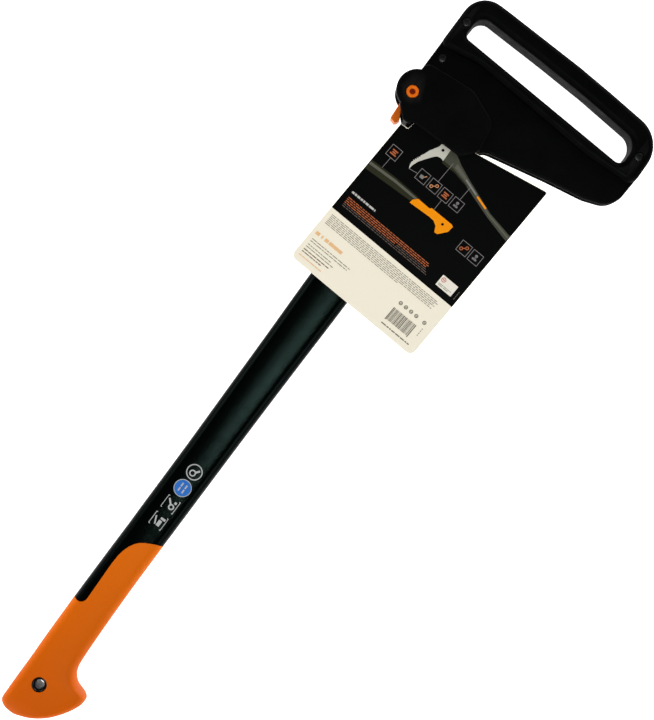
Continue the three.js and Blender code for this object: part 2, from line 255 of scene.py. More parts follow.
def ink(name, color):
    n = Nodes(name)
    darker = tuple(c * 0.88 for c in color)
    n.link(n.ramp(n.noise(1600, 4, 0.6), 0.35, 0.65, darker, color), "Base Color")
    n.set(Roughness=0.45, Specular_IOR_Level=0.5, IOR=1.06)
    n.bump(n.noise(700, 2), 0.05, 0.0001)
    return n.material


# ---- mesh helpers ----
ARC_STEP = math.radians(7)  # the turn between two points of a rounded corner


def outline(corners, inset=0.0, step=ARC_STEP):
    """Points of a closed outline of corners (x, y, radius), moved inwards by inset. The count doesn't
    depend on the inset, so outlines at several insets join ring to ring. Corners run anticlockwise."""
    points = []
    count = len(corners)
    for i, corner in enumerate(corners):
        here = Vector(corner[:2])
        r = corner[2] if len(corner) > 2 else 0
        back = (Vector(corners[i - 1][:2]) - here).normalized()
        on = (Vector(corners[(i + 1) % count][:2]) - here).normalized()
        half = math.acos(max(-1, min(1, back.dot(on)))) / 2
        convex = (-back).cross(on) > 0
        if r == 0:
            side = (back + on).normalized() if half < math.pi / 2 - 1e-4 else Vector((-on.y, on.x))
            lean = 1 if convex or half >= math.pi / 2 - 1e-4 else -1
            points.append(here + side * lean * inset / math.sin(half))
            continue
        centre = here + (back + on).normalized() * r / math.sin(half)
        start = here + back * r / math.tan(half) - centre
        steps = max(1, math.ceil((math.pi - 2 * half) / step))
        sweep = (math.pi - 2 * half) * (1 if convex else -1)
        radius = r - inset if convex else r + inset
        for k in range(steps + 1):
            spoke = start.copy()
            spoke.rotate(Matrix.Rotation(sweep * k / steps, 2))
            points.append(centre + spoke * radius / r)
    return points


def new_object(name, verts, faces, material=None):
    mesh = bpy.data.meshes.new(name)
    mesh.from_pydata([place(*v) for v in verts], [], faces)
    mesh.validate()
    bm = bmesh.new()
    bm.from_mesh(mesh)
    bmesh.ops.remove_doubles(bm, verts=bm.verts, dist=1e-6)
    bmesh.ops.recalc_face_normals(bm, faces=bm.faces)
    bm.to_mesh(mesh)
    bm.free()
    obj = bpy.data.objects.new(name, mesh)
    bpy.context.scene.collection.objects.link(obj)
    if material:
        mesh.materials.append(material)
    return obj


def loft(name, rings, material=None, caps=True):
    """A closed skin over rings of equal length."""
    count = len(rings[0])
    verts = [p for r in rings for p in r]
    faces = []
    for i in range(len(rings) - 1):
        for j in range(count):
            a, b = i * count + j, i * count + (j + 1) % count
            faces.append((a, b, b + count, a + count))
    if caps:
        faces.append(tuple(reversed(range(count))))
        faces.append(tuple(range(len(verts) - count, len(verts))))
    return new_object(name, verts, faces, material)


def slab(name, corners, profile, holes=(), material=None):
    """A plate whose rim follows a profile of (inset, z) steps, with holes whose rims follow it too."""
    loops = [(corners, 1)] + [(hole, -1) for hole in holes]
    verts, faces = [], []
    ends = {0: [], -1: []}
    for shape, side in loops:
        count = None
        first = len(verts)
        for inset, z in profile:
            rim = outline(shape, inset * side)
            count = len(rim)
            verts += [(p.x, p.y, z) for p in rim]
        for i in range(len(profile) - 1):
            for j in range(count):
                a, b = first + i * count + j, first + i * count + (j + 1) % count
                faces.append((a, b, b + count, a + count))
        ends[0].append(list(range(first, first + count)))
        ends[-1].append(list(range(len(verts) - count, len(verts))))
    for end in (0, -1):
        flat = [i for loop in ends[end] for i in loop]
        polygons = [[Vector(verts[i]) for i in loop] for loop in ends[end]]
        faces += [tuple(flat[k] for k in t) for t in tessellate_polygon(polygons)]
    return new_object(name, verts, faces, material)


def rounded(half, edge, steps):
    """A rim profile with both edges rounded."""
    top = []
    for k in range(steps + 1):
        a = k / steps * math.pi / 2
        top.append((edge * (1 - math.cos(a)), half - edge * (1 - math.sin(a))))
    return [(i, -z) for i, z in reversed(top)] + top


def lathed(name, x, y, profile, segments=64, material=None, closed=False):
    """A body turned about the upright axis at x, y, from a profile of (radius, z) points."""
    turns = [k * 2 * math.pi / segments for k in range(segments)]
    rings = [[(x + r * math.cos(a), y + r * math.sin(a), z) for a in turns] for r, z in profile]
    if closed:
        rings.append(rings[0])
    return loft(name, rings, material, caps=not closed)


def drum(name, x, y, r, low, high, edge=0.0, segments=64):
    profile = [(r, low), (r, high)]
    if edge:
        profile = [(r - edge, low), (r, low + edge), (r, high - edge), (r - edge, high)]
    return lathed(name, x, y, profile, segments)


def box(name, x0, x1, y0, y1, z0, z1):
    return slab(name, [(x0, y0), (x1, y0), (x1, y1), (x0, y1)], [(0, z0), (0, z1)])


def baked(obj):
    """Replaces the object's mesh by what its modifiers make of it."""
    bpy.context.view_layer.update()
    graph = bpy.context.evaluated_depsgraph_get()
    mesh = bpy.data.meshes.new_from_object(obj.evaluated_get(graph))
    obj.modifiers.clear()
    obj.data = mesh
    return obj


def boolean(obj, tool, how):
    step = obj.modifiers.new("boolean", "BOOLEAN")
    step.operation = how
    step.solver = "EXACT"
    step.object = tool
    baked(obj)
    bpy.data.objects.remove(tool)
    return obj


def cut(obj, *tools):
    for tool in tools:
        boolean(obj, tool, "DIFFERENCE")
    return obj


def join(obj, *tools):
    for tool in tools:
        boolean(obj, tool, "UNION")
    return obj


def smooth(obj, degrees=32):
    """Smooth shading that keeps sharp creases, with flat faces kept flat."""
    bm = bmesh.new()
    bm.from_mesh(obj.data)
    bmesh.ops.remove_doubles(bm, verts=bm.verts, dist=2e-6)
    bmesh.ops.dissolve_degenerate(bm, edges=bm.edges, dist=2e-6)
    bm.to_mesh(obj.data)
    bm.free()
    obj.data.shade_smooth()
    obj.data.set_sharp_from_angle(angle=math.radians(degrees))
    weighted = obj.modifiers.new("weighted", "WEIGHTED_NORMAL")
    weighted.keep_sharp = True
    return obj


def finished(obj, body, slot_name, *nodes, degrees=32):
    smooth(obj, degrees)
    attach(obj, body)
    if nodes:
        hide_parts(*nodes)
    return obj


# ---- the handle's surface ----
STATIONS = [
    # x, low edge, high edge, half thickness
    (BUTT_X, -1.8, 5.4, 5),
    (-1.3, -4.8, 11.6, 8.5),
    (0.6, -9.6, 15, 10.8),
    (3, -14.4, 16.4, 12.8),
    (6, -19.1, 16.8, 14.2),
    (10, -24.3, 16.8, 15.2),
    (15.3, -29.8, 16.9, 15.8),
    (25.6, -37.5, 17.1, 16),
    (34, -42, 17.2, 16),
    (40.7, -44.1, 17.2, 16),
    (44.3, -44.1, 17.2, 15.9),
    (46.6, -42.4, 17.3, 15.8),
    (48, -38.3, 17.3, 15.8),
    (49.6, -33.2, 17.3, 15.7),
    (52.8, -28.2, 17.4, 15.5),
    (59, -23.3, 17.6, 15.2),
    (66, -21.3, 17.8, 14.8),
    (80, -20.4, 18, 14.4),
    (120, -19.2, 18.3, 13.8),
    (160, -18.7, 18.2, 13.3),
    (GRIP_END, -18.7, 18, 13),
    (208, -18.8, 18.1, 12.9),
    (260, -19, 18.1, 12.7),
    (335, -19.5, 18.8, 12.4),
    (400, -20.3, 19.5, 11.9),
    (462, -21.2, 20.4, 11.5),
    (540, -21.4, 20.6, 11.4),
    (580, -21.5, 21.8, 11.4),
    (606, -21.7, 24.6, 11.4),
    (624, -22.2, 27, 11.4),
    (649, -23, 28, 11.4),
]


def station(x):
    """Low edge, high edge and half thickness at x, on a smooth curve through the stations."""
    last = len(STATIONS) - 1
    i = max(0, min(last - 1, next((k for k, s in enumerate(STATIONS) if s[0] > x), last) - 1))
    a, b = STATIONS[i], STATIONS[i + 1]
    before, after = STATIONS[max(i - 1, 0)], STATIONS[min(i + 2, last)]
    span = b[0] - a[0]
    t = (x - a[0]) / span
    found = []
    for k in (1, 2, 3):
        straight = (b[k] - a[k]) / span
        slopes = []
        for left, here, right in ((before, a, b), (a, b, after)):
            s0 = (here[k] - left[k]) / (here[0] - left[0]) if here is not left else straight
            s1 = (right[k] - here[k]) / (right[0] - here[0]) if right is not here else straight
            slopes.append(0 if s0 * s1 <= 0 else 2 * s0 * s1 / (s0 + s1))
        h = (2 * t**3 - 3 * t**2 + 1, t**3 - 2 * t**2 + t, 3 * t**2 - 2 * t**3, t**3 - t**2)
        found.append(h[0] * a[k] + h[1] * span * slopes[0] + h[2] * b[k] + h[3] * span * slopes[1])
    return found


CROWN = 2.3  # how high the middle of a face stands above its sides
EDGE = 8.5
SQUARE = 2.5  # how square an edge is: 2 is an ellipse, more is squarer
BUNCHING = 0.62  # spreads a section's points towards its edges
SHAFT_INSET = 3.5  # the shaft's surface below the grip's
HOLLOW_INSET = 7.1  # the shaft's hollow
PLUG_INSET = 7.6  # the plug that fills the hollow's end


def section_height(offset, width, height):
    """The surface's height at a distance from the section's middle: a low crown with rounded edges."""
    flat = max(width - EDGE, width * 0.3)
    rise = min(CROWN, height * 0.2)
    top = height - rise * min(1, abs(offset) / width) ** 2
    if abs(offset) <= flat:
        return top
    share = min(1, (abs(offset) - flat) / (width - flat))
    return top * (1 - share**SQUARE) ** (1 / SQUARE)


def section(x, inset=0.0, points=72):
    """One closed ring of the handle at x."""
    low, high, half = station(x)
    mid, width, height = (low + high) / 2, max((high - low) / 2 - inset, 0.6), max(half - inset, 0.6)
    points_round = []
    for k in range(points):
        a = 2 * math.pi * k / points
        c = math.cos(a)
        offset = width * math.copysign(abs(c) ** BUNCHING, c)
        z = section_height(offset, width, height)
        side = math.sin(a)
        points_round.append((x, mid + offset, math.copysign(z, side) if abs(side) > 1e-9 else 0.0))
    return points_round


# Rings of the handle: up to each x, how far apart they stand.
RING_GAPS = [(1, 0.25), (8, 0.7), (44, 1.2), (54, 0.6), (80, 1.5), (math.inf, 4.0)]


def spaced(start, stop, fine):
    """Places along the handle: close together at the butt and the hook, wider on the shaft."""
    places, x = [start], start
    while x < stop:
        x += next(gap for end, gap in RING_GAPS if x < end) * fine
        places.append(min(x, stop))
    return places


def handle(name, start, stop, inset=0.0, fine=1.0, material=None):
    return loft(name, [section(x, inset) for x in spaced(start, stop, fine)], material)


def grip_front(grow):
    """The bare part of the shaft in plan: past a curve, and a strip back along the high edge."""
    curve = [(193.5, -17.6), (192.2, -12.5), (190, -8), (187.9, -4), (185.4, -0.4), (181.6, 2.9)]
    curve += [(176.8, 5.4), (171.6, 7.2), (166, 8.2), (158, 8.6)]
    corners = [(700, 60), (112.6 - grow, 60), (112.6 - grow, 14)]
    turns = [math.pi + k * math.pi / 16 for k in range(1, 9)]
    corners += [(119 + (6.4 + grow) * math.cos(a), 14 + (6.4 + grow) * math.sin(a)) for a in turns]
    corners += [(x - grow * 0.8, y - grow) for x, y in reversed(curve)]
    corners += [(193.5 - grow, -60), (700, -60)]
    return corners


def prism(name, corners, low, high):
    return loft(name, [[(x, y, z) for x, y in corners] for z in (low, high)])


# ---- shaft, grip and butt ----
def make_shaft(material):
    steel_side = [(627.8, -60), (629, -22), (641, 28), (643, 60), (800, 60), (800, -60)]
    shaft = handle("shaft_body", 100, 645, material=material)
    bare = prism("bare", grip_front(-0.1), -40, 40)
    boolean(shaft, bare, "INTERSECT")
    join(shaft, handle("core", 12, 500, SHAFT_INSET, fine=2))
    cut(
        shaft,
        prism("steel_side", steel_side, -40, 40),
        handle("hollow", 8, 550, HOLLOW_INSET, fine=3),
        box("tang_slot", 571.7, 660, -14.3, 18.3, -4.3, 4.3),
        drum("eye_room", *EYE, EYE_OUTER + 0.2, -30, 30),
    )
    return finished(shaft, "tool", "shaft_composite", "shaft")


def make_grip(material):
    grip = handle("grip_body", BUTT_X, GRIP_END + 3, material=material)
    cut(
        grip,
        prism("bare", grip_front(0.15), -40, 40),
        handle("room", 11.5, GRIP_END + 12, 3.3, fine=2),
        drum("eye_room", *EYE, EYE_OUTER + 0.15, -30, 30),
    )
    return finished(grip, "tool", "grip_rubber", "grip", degrees=40)


def make_butt_plug(material):
    profile = [(EYE_BORE, 0), (EYE_BORE, 12.5), (EYE_BORE + 0.35, 14.0), (EYE_BORE + 1.1, 14.9)]
    profile += [(EYE_OUTER - 0.8, 15.3), (EYE_OUTER - 0.25, 15.1), (EYE_OUTER, 14.6), (EYE_OUTER, 0)]
    profile += [(r, -z) for r, z in reversed(profile[1:-1])]
    plug = lathed("butt_plug_body", *EYE, profile, material=material, closed=True)
    body = handle("plug_core", 13, 52, PLUG_INSET, fine=2)
    cut(body, drum("eye_room", *EYE, EYE_OUTER - 0.3, -30, 30))
    join(plug, body)
    return finished(plug, "tool", "plug_plastic", "butt_plug")


# ---- pick head ----
def make_pick(material):
    corners = [
        (641.6, 27.6),
        (629.6, -21.9),
        (643.4, -27, 8),
        (654.6, -31.6, 5),
        (659, -44, 12),
        (669.3, -91, 60),
        (678, -115, 30),
        (677.1, -132, 20),
        (675.2, -146.5, 1.5),
    ]
    teeth = 6
    start, stop = Vector((681.6, -138.5)), Vector((691.6, -117.5))
    along = (stop - start) / teeth
    out = Vector((along.y, -along.x)).normalized()
    for k in range(teeth):
        root = start + along * k
        corners += [(*root, 0.3), (*(root + along * 0.25 + out * 1.5), 0.25)]
    corners += [(692.6, -113, 6), (692.6, -91, 40), (679.8, 0, 60), (677.2, 24, 2.5)]
    pick = slab("pick_head_body", corners, rounded(4, 0.7, 3), material=material)
    join(pick, box("tang", 572, 643, -14, 18, -3.9, 3.9))
    cut(pick, drum("pick_eye", 659, 0, 5.2, -10, 10))
    return finished(pick, "tool", "head_steel", "pick_head")


# ---- sheath ----
SHEATH_EDGE = [
    (661.3, BACK_EDGE),
    (640, 46),
    (MOUTH_X, 30),
    (MOUTH_X, -20, 4),
    (624, -25, 6),
    (638.8, -40, 12),
    (651, -98, 30),
    (657.2, -133, 20),
    (666.4, -158.4, 20),
    (700, -160.1, 60),
    (740, -159, 29),
    (744.9, -98, 60),
    (747.1, -62, 80),
    (749.1, 18, 60),
    (748.9, BACK_EDGE, 22),
]
SLOT = [
    (708.5, 35, 5.5),
    (698.9, -141.6, 6.5),
    (724, -141.6, 14),
    (728.8, -80, 100),
    (730.7, -34, 80),
    (731.6, 4, 60),
    (732.3, 34, 10),
]


def sheath_solid():
    cover = slab("cover", SHEATH_EDGE, rounded(COVER_HALF, 2.4, 4), [SLOT])
    ring = [(690, BACK_EDGE, 6), (696, 10, 30), (688, -110, 40), (690, -160.2, 10), *SHEATH_EDGE[10:]]
    handle_ring = slab("handle_ring", ring, rounded(HALF_HEIGHT, 5.2, 8), [SLOT])
    mouth = slab(
        "mouth",
        [
            (617.8, 34.6, 3),
            (618.3, 28.4, 3),
            (MOUTH_X, 25.4, 3),
            (MOUTH_X, -24, 5),
            (634, -35, 6),
            (662, -31, 14),
            (675, 0, 20),
            (671, BACK_EDGE, 8),
            (628.2, 46, 5),
        ],
        rounded(HALF_HEIGHT, 1.7, 4),
    )
    boss_rim = [(BOSS_R - inset, z) for inset, z in rounded(HALF_HEIGHT, 2.4, 5)]
    return join(cover, handle_ring, mouth, lathed("boss", *BOSS, boss_rim, 96))


def sheath_rooms():
    pick = [(600, 31), (600, -154.4), (695.5, -154.4, 6), (697, -100, 20), (690, 31, 3)]
    neck = [(600, 31), (600, -27), (646, -27, 2), (648.5, 31, 2)]
    nose = [(627, 30), (656, 30), (656, 42), (627, 42)]
    sweep = [math.radians(a) for a in SWING_ROOM]
    wedge = [(HUB[0] + 3, HUB[1])]
    wedge += [(HUB[0] + 45 * math.cos(a), HUB[1] + 45 * math.sin(a)) for a in sweep]
    bar = [
        (712, 39.2, 2),
        (736.4, 39.2, 9),
        (735.8, 4, 60),
        (734.8, -34, 60),
        (732.9, -80, 60),
        (730.2, -122, 3),
        (739.6, -122, 3),
        (741.2, -98, 30),
        (743.2, -62, 60),
        (745.2, 18, 30),
        (744.8, 44.6, 18),
        (712, 44.6, 2.4),
    ]
    return [
        slab("pick_room", pick, [(0, -COVER_POCKET), (0, COVER_POCKET)]),
        slab("neck_room", neck, [(0, -MOUTH_POCKET), (0, MOUTH_POCKET)]),
        box("card_room", 600, 645, -70, 0, COVER_HALF + 0.3, MOUTH_POCKET),
        drum("boss_room", *BOSS, BOSS_CAVITY, -MOUTH_POCKET, MOUTH_POCKET),
        prism("wedge_room", wedge, -LEVER_ROOM, LEVER_ROOM),
        slab("nose_room", nose, [(0, -LEVER_ROOM), (0, LEVER_ROOM)]),
        drum("hub_room", *HUB, HUB_HOLE, -30, 30),
        slab("bar_room", bar, [(0, -12.4), (0, 12.4)]),
    ]


def make_sheath(material):
    whole = sheath_solid()
    cut(whole, *sheath_rooms())
    for x, y, top in RIVETS:
        cut(whole, drum("shank_room", x, y, 2.2, -40, 40, segments=32))
        for side in (1, -1):
            ends = sorted((side * (top - 2.6), side * 40))
            cut(whole, drum("head_room", x, y, 4.25, *ends, segments=48))
    rear = bpy.data.objects.new("sheath_rear_body", whole.data.copy())
    bpy.context.scene.collection.objects.link(rear)
    whole.name = "sheath_front_body"
    cut(whole, box("rear_half", 600, 760, -170, 70, -30, 0.12))
    cut(rear, box("front_half", 600, 760, -170, 70, -0.12, 30))
    for shell, node in ((whole, "sheath_front_shell"), (rear, "sheath_rear_shell")):
        shell.data.materials.clear()
        shell.data.materials.append(material)
        finished(shell, "sheath", "sheath_plastic", node)


def make_rivets(material):
    for i, (x, y, top) in enumerate(RIVETS, 1):
        half = [(0.4, top - 0.5), (1.2, top - 0.55), (1.5, top), (2.8, top - 0.05), (3.7, top - 0.35)]
        half += [(4, top - 0.8), (4, top - 2.3), (2, top - 2.3)]
        profile = half + [(r, -z) for r, z in reversed(half)]
        rivet = lathed(f"rivet_{i}", x, y, profile, 48, material)
        finished(rivet, "sheath", "rivet_plastic", f"sheath_rivet_{i}")


# ---- latch ----
def make_latch(material):
    arm = [
        (648, 36),
        (648, 50.6, 2),
        (641, 50.6, 2),
        (629.5, 46, 4),
        (614, 45.2, 1.6),
        (612.4, 39.5, 1.6),
        (616.4, 37.1, 1.2),
        (624.4, 41.2, 3),
        (630, 41.2, 2),
        (634.6, 37, 1),
        (633.2, 31.6, 1.4),
        (633.8, 28.4, 0.8),
        (640.6, 28.4, 0.8),
    ]
    lever = slab("latch_lever_body", arm, rounded(LEVER_HALF, 0.7, 4), material=material)
    join(lever, drum("disc", *HUB, 8.2, -LEVER_HALF, LEVER_HALF, 0.6))
    join(lever, drum("tube", *HUB, HUB_TUBE, -15.7, 15.7, 0.5))
    for side in (1, -1):
        ends = sorted((side * 11.5, side * 20))
        cut(lever, drum("dimple", *HUB, HUB_DIMPLE, *ends, segments=48))
    for k in range(5):
        x = 616.2 + 2.1 * k
        cut(lever, drum("groove", x, 46.35, 0.75, -6.2, 6.2, segments=16))
    return finished(lever, "latch", "latch_plastic", "latch_lever")


COIL_R, WIRE_R, COIL_LOW, COIL_RISE = 7.1, 0.6, 8.5, 3.5


def make_spring(material):
    turns, steps, sides = 2.5, 120, 12
    rings = []
    for k in range(steps + 1):
        t = k / steps
        a = t * turns * 2 * math.pi + 0.6
        z = COIL_LOW + COIL_RISE * t
        wire = []
        for j in range(sides):
            b = 2 * math.pi * j / sides
            r = COIL_R + WIRE_R * math.cos(b)
            wire.append((HUB[0] + r * math.cos(a), HUB[1] + r * math.sin(a), z + WIRE_R * math.sin(b)))
        rings.append(wire)
    spring = loft("latch_spring_body", rings, material)
    return finished(spring, "sheath", "spring_steel", "latch_spring")


# ---- card ----
CARD_OUTLINE = [
    (CARD_LEFT, 0, 6),
    (CARD_RIGHT, 0, 6),
    (CARD_RIGHT, 185.8, 3),
    (61.5, 171),
    (58, 178, 3),
    (10.5, 178, 3),
    (7, 150.6, 1),
    (CARD_LEFT, 150.1, 1),
]
CARD_TOP = CARD_LOW + CARD_THICK


def on_card(s, t, z):
    """A point of the card: s across it, t up it towards the head."""
    a = math.radians(CARD_TURN)
    c, n = math.cos(a), math.sin(a)
    return (CARD_AT[0] + s * c - t * n, CARD_AT[1] + s * n + t * c, z)


class Print:
    """Gathers thin flat shapes of ink, and makes one piece of each colour."""

    LIFT = 0.035

    def __init__(self, surface):
        self.surface = surface
        self.layers = {}

    def shape(self, color, points, level=0):
        self.layers.setdefault(color, []).append((points, level))

    def rect(self, color, s, t, w, h, turn=0.0, level=0, corner=0.0):
        corners = [(a * w / 2, b * h / 2, corner) for a, b in ((-1, -1), (1, -1), (1, 1), (-1, 1))]
        points = outline(corners, 0, math.radians(20)) if corner else [Vector(c[:2]) for c in corners]
        c, n = math.cos(turn), math.sin(turn)
        self.shape(color, [(s + p.x * c - p.y * n, t + p.x * n + p.y * c) for p in points], level)

    def disc(self, color, s, t, r, level=0, points=32):
        turns = [2 * math.pi * k / points for k in range(points)]
        self.shape(color, [(s + r * math.cos(a), t + r * math.sin(a)) for a in turns], level)

    def line(self, color, start, stop, width, level=0):
        a, b = Vector(start), Vector(stop)
        side = Vector((-(b - a).y, (b - a).x)).normalized() * width / 2
        self.shape(color, [tuple(a - side), tuple(b - side), tuple(b + side), tuple(a + side)], level)

    def pieces(self, name, materials, body):
        for color, shapes in self.layers.items():
            verts, faces = [], []
            for points, level in shapes:
                base = self.LIFT * level
                first, count = len(verts), len(points)
                for height in (base, base + self.LIFT):
                    verts += [self.surface(s, t, height) for s, t in points]
                for end in (0, count):
                    flat = [Vector((s, t, 0)) for s, t in points]
                    faces += [tuple(first + end + k for k in tri) for tri in tessellate_polygon([flat])]
                for j in range(count):
                    a, b = first + j, first + (j + 1) % count
                    faces.append((a, b, b + count, a + count))
            piece = new_object(f"{name}_{color}", verts, faces, materials[color])
            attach(piece, body)


def make_card(board, inks):
    rim = [(0, 0), (0.05, 0.1), (0.05, 0.6), (0, CARD_THICK)]
    card = slab("tag_card_body", CARD_OUTLINE, rim)
    for v in card.data.vertices:
        local = (v.co - ORIGIN) / MM
        v.co = place(*on_card(local.x, local.y, CARD_LOW + local.z))
    card.data.materials.append(board)
    finished(card, "tool", "tag_board", "tag_card", degrees=60)
    art = Print(lambda s, t, h: on_card(s, t, CARD_TOP + h))
    print_card(art)
    art.pieces("card_print", inks, "tool")


# Places on the card are (s, t) in millimetres: s across it, t up it towards the head.
def text_lines(art, color, s, t, lengths, pitch, height, rng, level=1):
    """Lines of a paragraph as rows of short word-like bars that stand for no letters."""
    for row, length in enumerate(lengths):
        at = s
        while at < s + length - 1:
            word = min(rng.uniform(1.6, 5.5), s + length - at)
            art.rect(color, at + word / 2, t - row * pitch, word, height, level=level)
            at += word + 0.7


def frame_square(art, color, s, t, size, line, level=0):
    """A thin square outline of four strips."""
    half = (size - line) / 2
    for side in (-1, 1):
        art.rect(color, s, t + side * half, size, line, level=level)
        art.rect(color, s + side * half, t, line, size - 2 * line, level=level)


def ring(art, color, s, t, outer, inner, level=0, points=36):
    turns = [2 * math.pi * k / points for k in range(points + 1)]
    for a, b in zip(turns, turns[1:]):
        quad = [(outer, a), (outer, b), (inner, b), (inner, a)]
        art.shape(color, [(s + r * math.cos(q), t + r * math.sin(q)) for r, q in quad], level)


def icon(art, color, s, t, size, kind, level=1):
    """A framed pictogram with a plain geometric glyph."""
    frame_square(art, "pale", s, t, size, 0.5, level)
    q = size * 0.14
    if kind == "bars":
        for k, width in ((1, 0.5), (0, 0.36), (-1, 0.56)):
            art.rect(color, s, t + k * q * 1.2, size * width, size * 0.11, level=level)
    elif kind == "link":
        ring(art, color, s - q * 1.3, t - q * 1.1, size * 0.15, size * 0.08, level, 20)
        ring(art, color, s + q * 1.3, t + q * 1.1, size * 0.15, size * 0.08, level, 20)
        start, stop = (s - q * 0.7, t - q * 0.6), (s + q * 0.7, t + q * 0.6)
        art.line(color, start, stop, size * 0.08, level=level)
    elif kind == "hand":
        art.rect(color, s - q * 0.4, t - q * 0.4, size * 0.36, size * 0.3, level=level, corner=0.8)
        start, stop = (s + q * 0.9, t + q * 0.2), (s + q * 1.9, t + q * 1.7)
        art.line("apricot", start, stop, size * 0.08, level=level)
    else:
        art.disc(color, s, t + q, size * 0.13, level=level, points=20)
        art.rect(color, s, t - q * 1.1, size * 0.42, size * 0.16, level=level, corner=0.5)
        art.rect(color, s, t - q * 0.1, size * 0.1, size * 0.26, level=level)


FOLD = 55.5  # where the card's dark print ends
MARGIN = 0.25  # print stops this far inside the card's edge


def print_picture(art):
    """The tool as the card pictures it: its head end above, and its grip end below."""
    right = CARD_RIGHT - MARGIN
    head_end = [(47.6, 159.9), (51.2, 160.5), (55.8, 159.7), (63.2, 155.7), (78.2, 150), (109.3, 139.6)]
    head_end += [(right, 135.2), (right, 129.6), (109.5, 135.3), (78.8, 144.2), (62.4, 147)]
    head_end += [(55.8, 146.5), (48.6, 146.6)]
    art.shape("olive", head_end, 1)
    lit = [(60, 154.5), (78.4, 148.8), (109.3, 138.4), (right, 133.6), (right, 132), (109.3, 137)]
    art.shape("sage", [*lit, (78.5, 146.8), (60, 150.5)], 2)
    shade = [(48.4, 149), (60, 149), (78.7, 145.2), (78.8, 144.2), (62.4, 147), (55.8, 146.5)]
    art.shape("moss", [*shade, (48.6, 146.6)], 2)
    pick = [(30, 123.9), (28.6, 126.8), (27.8, 130.2)]
    for k in range(5):
        pick += [(28.6 + 0.65 * k, 131.9 + 1.7 * k), (27.7 + 0.65 * k, 132.6 + 1.7 * k)]
    pick += [(31.8, 142.2), (33.5, 147.6), (37.8, 155.8), (38.3, 158.9), (39.6, 159.7), (47.6, 159.9)]
    pick += [(48.6, 148.4), (45.5, 149.1), (42.1, 148.3), (39.9, 146), (35.8, 140), (32, 133.7)]
    pick += [(30.4, 128.3)]
    art.shape("silver", pick, 2)
    art.disc("black", 42.5, 155.5, 1.35, 3, 20)
    art.line("pale", (74.5, 148.6), (89.6, 144.2), 1.5, 3)
    art.line("amber", (91.3, 143.7), (103.8, 140.2), 1.7, 3)

    low_shaft = [(MARGIN, 109.5), (11, 110.2), (27.7, 110.9), (52.5, 110.3), (50, 103.6), (30.8, 102.3)]
    art.shape("moss", [*low_shaft, (MARGIN, 100.1)], 1)
    lit = [(MARGIN, 107.8), (28, 109.4), (51.8, 109), (51.5, 107), (28, 107), (MARGIN, 105.2)]
    art.shape("sage", lit, 2)
    grip = [(51.5, 107.8), (53, 109.3), (66.1, 109.1), (67.4, 110.6), (89.6, 110.8), (92, 109.8)]
    grip += [(91.4, 103.7), (87, 98.1), (85.2, 96.2), (82.4, 95.8), (79.8, 100.7), (75.6, 103.2)]
    art.shape("amber", [*grip, (70.4, 103.4), (49.3, 102), (49.6, 105.3)], 2)
    art.disc("black", 83.5, 105.7, 1.2, 3, 20)


def print_dark_half(art, rng):
    right = CARD_RIGHT - MARGIN
    left = CARD_LEFT + MARGIN
    dark = [(left, FOLD), (right, FOLD), (right, 185.2), (135, 185.1), (61.6, 170.6), (57.8, 177.6)]
    dark += [(11.2, 177.8), (10.6, 177.2), (7.3, 151), (6.6, 149.9), (left, 149.8)]
    art.shape("black", dark)
    print_picture(art)
    icon(art, "ember", 11.2, 126.7, 11.2, "bars", 3)
    row = [(43.7, "pale", "hand"), (56.6, "apricot", "link"), (69.2, "ember", "bars")]
    for s, color, kind in [*row, (81.9, "pale", "post")]:
        icon(art, color, s, 126.6, 10.7, kind, 3)
    icon(art, "ember", 111.4, 101.7, 11, "link", 3)
    icon(art, "pale", 124.2, 101.6, 11, "post", 3)
    leads = [((11.6, 121.1), (11.5, 110.1)), ((29.8, 124.3), (38.4, 125.8))]
    leads += [((56.8, 152.4), (56.8, 132)), ((81.7, 145.6), (81.4, 132)), ((69.4, 121.2), (69.6, 110.5))]
    for start, stop in leads:
        art.line("pale", start, stop, 0.45, 4)
    text_lines(art, "cloud", 5, 77.1, [26], 3, 1.8, rng)
    text_lines(art, "ember", 5.4, 71.5, [91, 93, 92, 58], 1.75, 0.75, rng)
    text_lines(art, "smoke", 64.5, 66.2, [33], 1.75, 0.6, rng)
    text_lines(art, "smoke", 5.6, 64.5, [94, 95], 1.75, 0.6, rng)
    art.rect("paper", 120.7, 67.1, 17, 10.9, level=2, corner=0.5)
    ring(art, "rose", 115.5, 69.2, 2.2, 1.5, 3, 24)
    art.line("rose", (114.6, 69.2), (116.4, 69.2), 0.9, 3)
    text_lines(art, "slate", 113.6, 64.7, [13.5, 12], 1.3, 0.5, rng, 3)
    for k in range(4):
        art.rect("smoke", 132.7, 62.5 + 2.2 * k, 0.7, 1.5 if k % 2 else 1.9, level=2)


